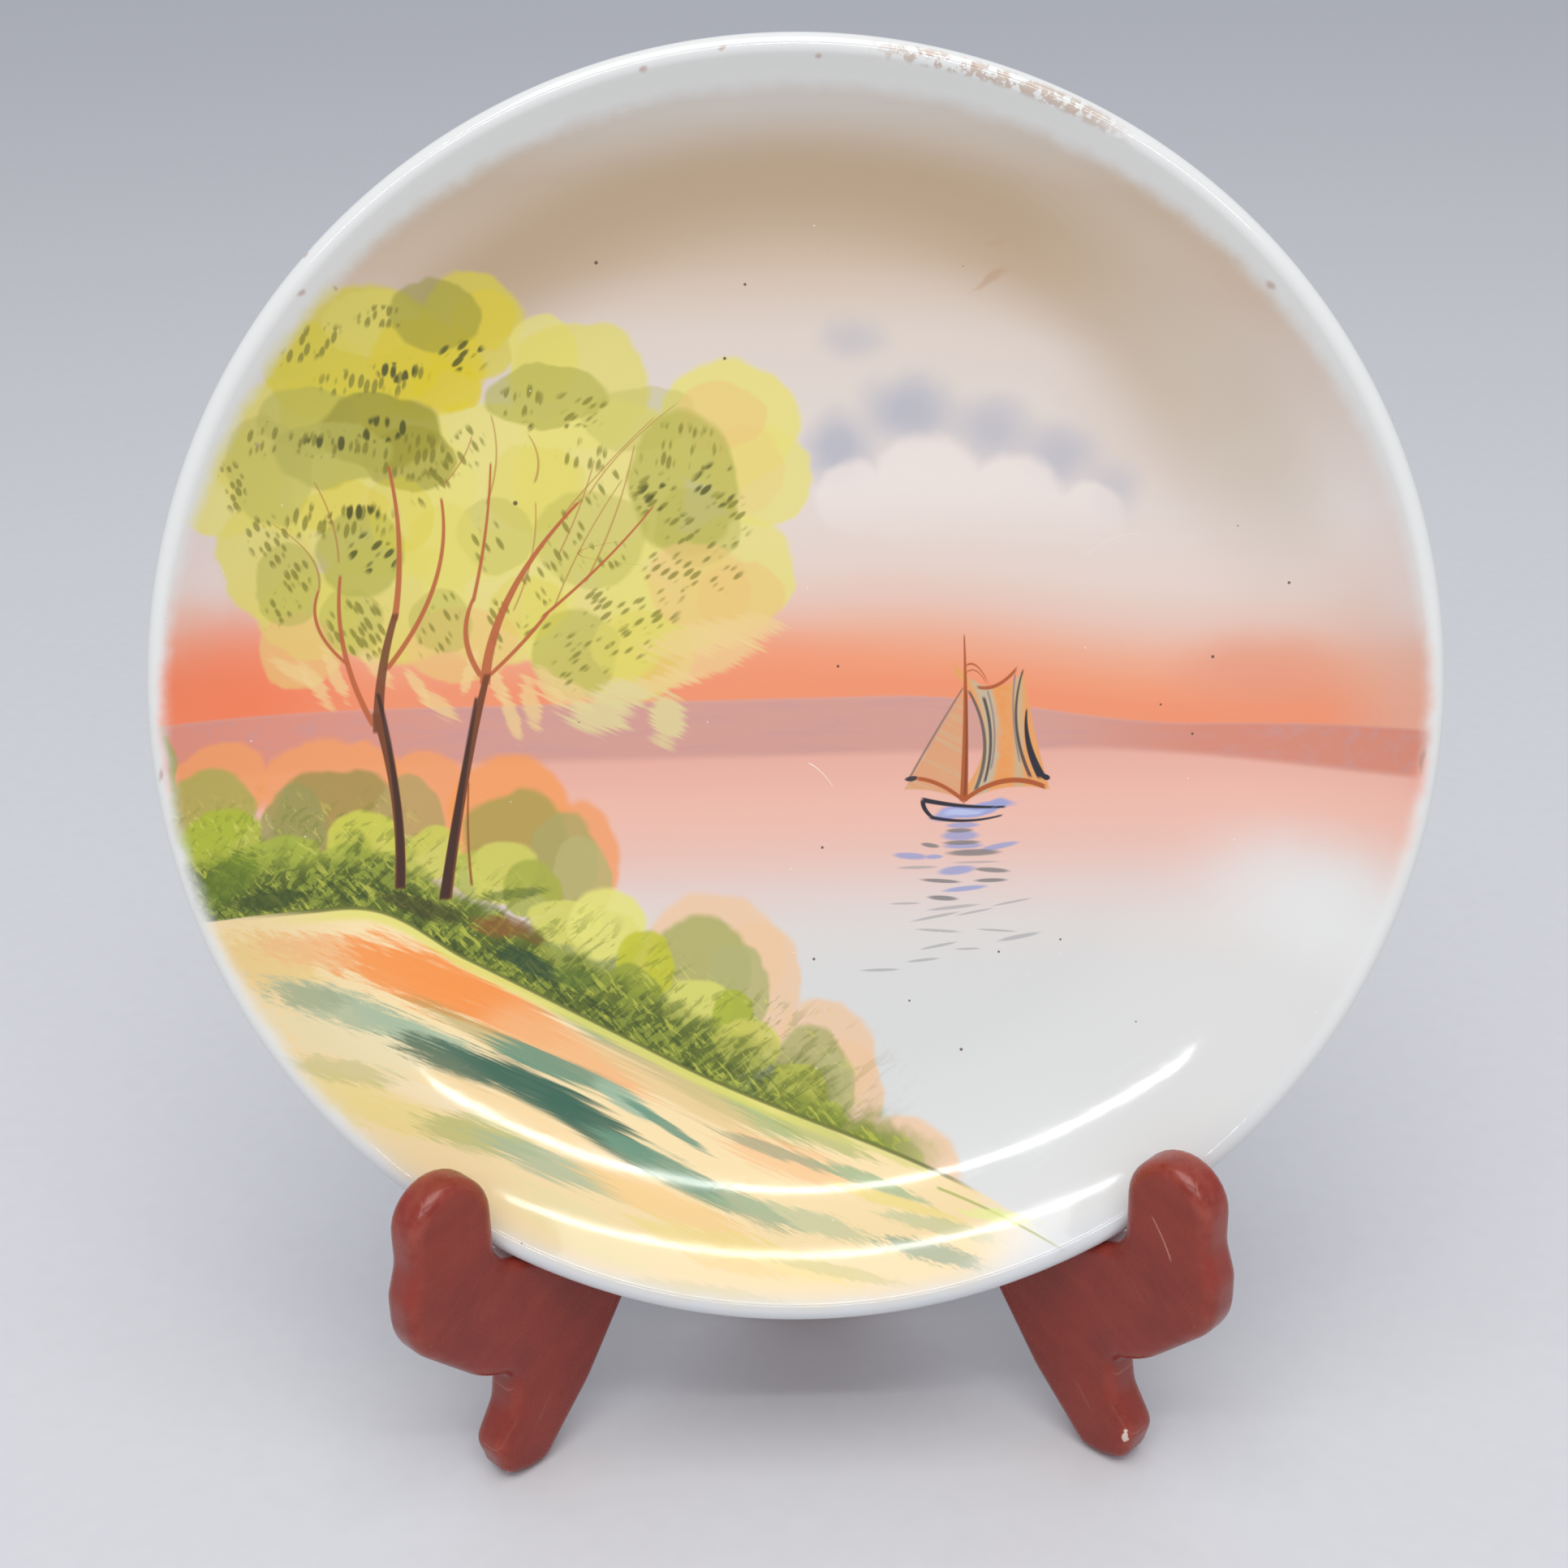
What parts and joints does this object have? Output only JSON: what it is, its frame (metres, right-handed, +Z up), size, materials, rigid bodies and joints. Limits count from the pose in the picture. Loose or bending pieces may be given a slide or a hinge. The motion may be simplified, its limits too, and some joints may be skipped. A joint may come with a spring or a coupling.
{
  "type": "decorative plate on a folding plate stand",
  "caption": "Round coupe porcelain plate painted with a lakeside sunset, leaning in a hinged two-leaf plate stand of moulded plastic that opens to a V and folds flat.",
  "frame": {"origin": "on the table, under the middle of the open stand and plate", "axes": "+Z up, the painted face looks towards -Y, +X to the viewer's right"},
  "size_m": [0.19, 0.0693, 0.213],
  "materials": {
    "porcelain": "glossy clear glaze over a hand-painted lakeside sunset; back white, foot ring unglazed",
    "leaf_plastic": "moulded red-brown plastic with a fine grain and a low sheen, rounded edges, small chips and scratches",
    "pin_steel": "drawn steel wire"
  },
  "bodies": {
    "stand": {"left_leaf": "leaf_plastic", "hinge_pin": "pin_steel"},
    "folding_leaf": {"right_leaf": "leaf_plastic"},
    "plate": {"plate": "porcelain"}
  },
  "joints": [
    {"name": "plate_lift", "type": "slide", "parent": "stand", "child": "plate", "axis": [0, 0, 1], "range_m": [0, 0.2]},
    {"name": "right_leaf_fold", "type": "hinge", "parent": "stand", "child": "folding_leaf", "pos_m": [0, 0.02356, 0.05], "axis": [0, 0, 1], "range_deg": [-90, 0]}
  ],
  "couplings": [
    {"joint": "right_leaf_fold", "follows": "plate_lift", "rad_per_m": -7.85}
  ]
}
